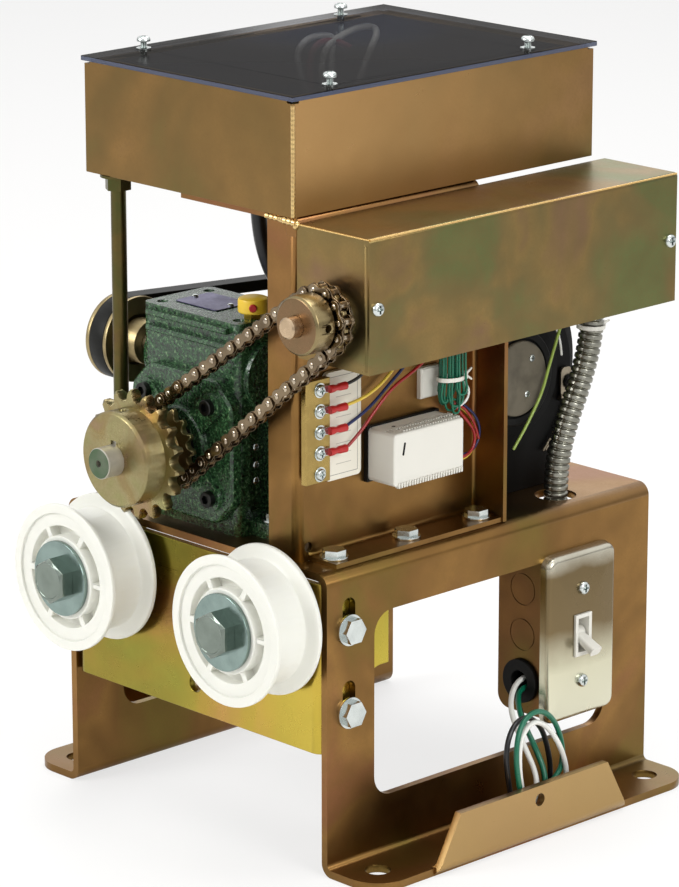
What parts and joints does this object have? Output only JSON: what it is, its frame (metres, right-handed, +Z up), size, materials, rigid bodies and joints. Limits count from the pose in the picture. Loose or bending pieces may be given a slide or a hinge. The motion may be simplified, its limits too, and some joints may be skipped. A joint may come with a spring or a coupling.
{
  "type": "slide gate operator",
  "caption": "chain drive slide gate operator on a folded steel base, with gearbox, belt driven motor, limit box, control box and gate rollers",
  "frame": {"origin": "on the floor at the centre of the anchor bolt pattern", "axes": "+Z up; +X along the gate face towards the side with the disconnect switch; -Y points from the machine to the gate, so sprocket and rollers are at the -Y end"},
  "size_m": [0.3256, 0.339, 0.4753],
  "materials": {
    "gold_zinc": "yellow chromate zinc plate, satin",
    "zinc": "bright zinc plated steel",
    "nylon": "moulded white nylon",
    "smoked": "smoked polycarbonate sheet",
    "circuit": "circuit board with its parts",
    "steel": "plain machined steel",
    "chain_steel": "oiled roller chain steel",
    "brass_zinc": "yellow zinc plated sprocket steel",
    "green_iron": "hammered green paint on cast iron",
    "bronze": "worm wheel bronze",
    "yellow_plastic": "yellow plastic",
    "pulley_iron": "plated cast pulley",
    "belt_rubber": "fabric covered rubber belt",
    "motor_black": "gloss black enamel",
    "cover_steel": "galvanised sheet",
    "white_plastic": "white plastic",
    "black_rubber": "black rubber",
    "terminal_brass": "terminal strip with plated screws",
    "white_wire": "white wire insulation",
    "green_wire": "green wire insulation",
    "black_wire": "black wire insulation",
    "red_wire": "red wire insulation",
    "yellow_wire": "yellow wire insulation",
    "blue_wire": "dark blue wire insulation",
    "nut_plastic": "moulded limit nuts"
  },
  "bodies": {
    "operator": {"base_frame": "gold_zinc", "roller_plate": "gold_zinc", "frame_bolts": "zinc", "roller_bolts": "zinc", "roller_washers": "zinc", "tower_bracket": "gold_zinc", "control_box": "gold_zinc", "box_lid": "smoked", "machine_screws": "zinc", "control_board": "circuit", "support_post": "gold_zinc", "limit_box": "gold_zinc", "limit_cover": "gold_zinc", "limit_bearings": "brass_zinc", "nut_guide": "steel", "limit_switches": "black_wire", "limit_chain": "chain_steel", "gearbox_housing": "green_iron", "gearbox_cover": "green_iron", "gearbox_bearings": "steel", "oil_seals": "black_rubber", "breather": "yellow_plastic", "drive_belt": "belt_rubber", "motor_shell": "motor_black", "motor_end_bells": "motor_black", "motor_cradle": "motor_black", "switch_box": "gold_zinc", "switch_cover": "cover_steel", "toggle_switch": "white_plastic", "grommet": "black_rubber", "terminal_board": "white_plastic", "terminal_strip": "terminal_brass", "receiver_box": "white_plastic", "conduit": "zinc", "black_sleeve": "black_rubber", "pigtail_white": "white_wire", "pigtail_green": "green_wire", "pigtail_black": "black_wire", "lead_red": "red_wire", "lead_yellow": "yellow_wire", "lead_blue": "blue_wire", "lead_black": "black_wire", "receiver_lead": "red_wire", "ground_lead": "green_wire", "wire_hank": "green_wire"},
    "output": {"output_shaft": "green_iron", "worm_wheel": "bronze", "drive_sprocket": "brass_zinc", "limit_drive_sprocket": "brass_zinc"},
    "worm": {"worm_shaft": "steel", "gearbox_pulley": "pulley_iron"},
    "rotor": {"motor_rotor": "steel", "motor_pulley": "pulley_iron"},
    "limit_screw": {"limit_shaft": "steel", "limit_sprocket": "brass_zinc"},
    "front_nut": {"front_limit_nut": "nut_plastic"},
    "rear_nut": {"rear_limit_nut": "nut_plastic"},
    "roller_left": {"left_roller": "nylon"},
    "roller_right": {"right_roller": "nylon"},
    "lever": {"toggle_lever": "white_plastic"}
  },
  "joints": [
    {"name": "motor_spin", "type": "hinge", "parent": "operator", "child": "rotor", "pos_m": [0, 0.064, 0.262], "axis": [1, 0, 0], "continuous": true, "deforming": ["drive_belt"]},
    {"name": "worm_spin", "type": "hinge", "parent": "operator", "child": "worm", "pos_m": [0, -0.0975, 0.2845], "axis": [1, 0, 0], "continuous": true},
    {"name": "output_spin", "type": "hinge", "parent": "operator", "child": "output", "pos_m": [-0.018, 0, 0.2405], "axis": [0, 1, 0], "continuous": true, "deforming": ["limit_chain"]},
    {"name": "limit_spin", "type": "hinge", "parent": "operator", "child": "limit_screw", "pos_m": [0.11884, 0, 0.34362], "axis": [0, 1, 0], "continuous": true},
    {"name": "left_roller_spin", "type": "hinge", "parent": "operator", "child": "roller_left", "pos_m": [-0.073, 0, 0.1535], "axis": [0, 1, 0], "continuous": true},
    {"name": "right_roller_spin", "type": "hinge", "parent": "operator", "child": "roller_right", "pos_m": [0.073, 0, 0.1535], "axis": [0, 1, 0], "continuous": true},
    {"name": "front_nut_slide", "type": "slide", "parent": "operator", "child": "front_nut", "axis": [0, 1, 0], "range_m": [-0.02, 0.02]},
    {"name": "rear_nut_slide", "type": "slide", "parent": "operator", "child": "rear_nut", "axis": [0, 1, 0], "range_m": [-0.02, 0.02]},
    {"name": "toggle_hinge", "type": "hinge", "parent": "operator", "child": "lever", "pos_m": [0.1181, 0.073, 0.1055], "axis": [0, 1, 0], "range_deg": [-54, 0]}
  ],
  "couplings": [
    {"joint": "worm_spin", "follows": "motor_spin", "ratio": 1.449},
    {"joint": "output_spin", "follows": "motor_spin", "ratio": 0.048299},
    {"joint": "limit_spin", "follows": "motor_spin", "ratio": 0.064399}
  ]
}
